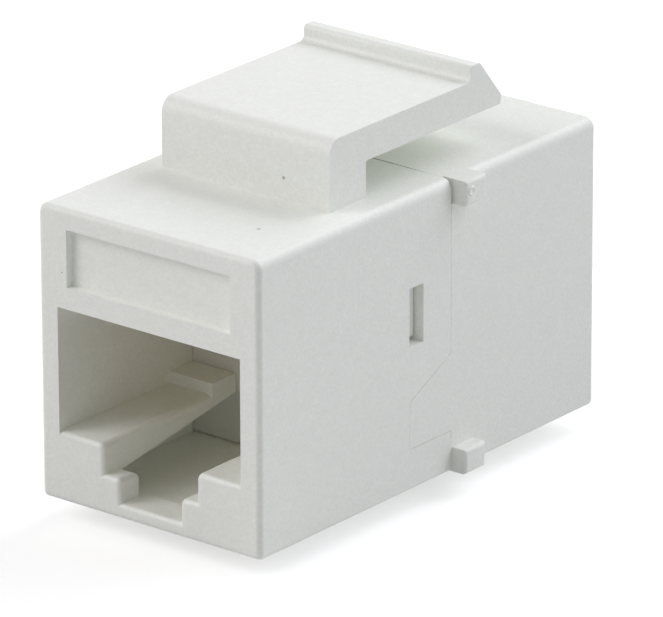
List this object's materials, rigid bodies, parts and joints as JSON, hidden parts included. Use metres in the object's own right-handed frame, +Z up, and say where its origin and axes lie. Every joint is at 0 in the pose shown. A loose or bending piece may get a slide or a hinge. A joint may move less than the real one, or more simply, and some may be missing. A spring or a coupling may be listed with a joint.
{
  "type": "rj45 inline coupler",
  "caption": "White in-line coupler with a keystone latch arm on top and a modular plug socket at each end, made of two snapped shells round a circuit board and spring contacts.",
  "frame": {"origin": "centre of the overall box in plan, at the underside of the keystone lug", "axes": "+Z up towards the latch arm, +Y from the front socket to the rear socket, +X to the right seen from the front"},
  "size_m": [0.0162, 0.0278, 0.022],
  "materials": {
    "white_shell": "satin moulded white plastic",
    "insert": "moulded off-white plastic",
    "board": "green solder resist over glass laminate",
    "contact": "thin bright gold-coloured plating on flat spring strip"
  },
  "bodies": {
    "root": {"front_housing": "white_shell", "rear_housing": "white_shell", "front_contact_carrier": "insert", "rear_contact_carrier": "insert", "circuit_board": "board", "front_contact_1": "contact", "front_contact_2": "contact", "front_contact_3": "contact", "front_contact_4": "contact", "front_contact_5": "contact", "front_contact_6": "contact", "front_contact_7": "contact", "front_contact_8": "contact", "rear_contact_1": "contact", "rear_contact_2": "contact", "rear_contact_3": "contact", "rear_contact_4": "contact", "rear_contact_5": "contact", "rear_contact_6": "contact", "rear_contact_7": "contact", "rear_contact_8": "contact"}
  },
  "joints": []
}
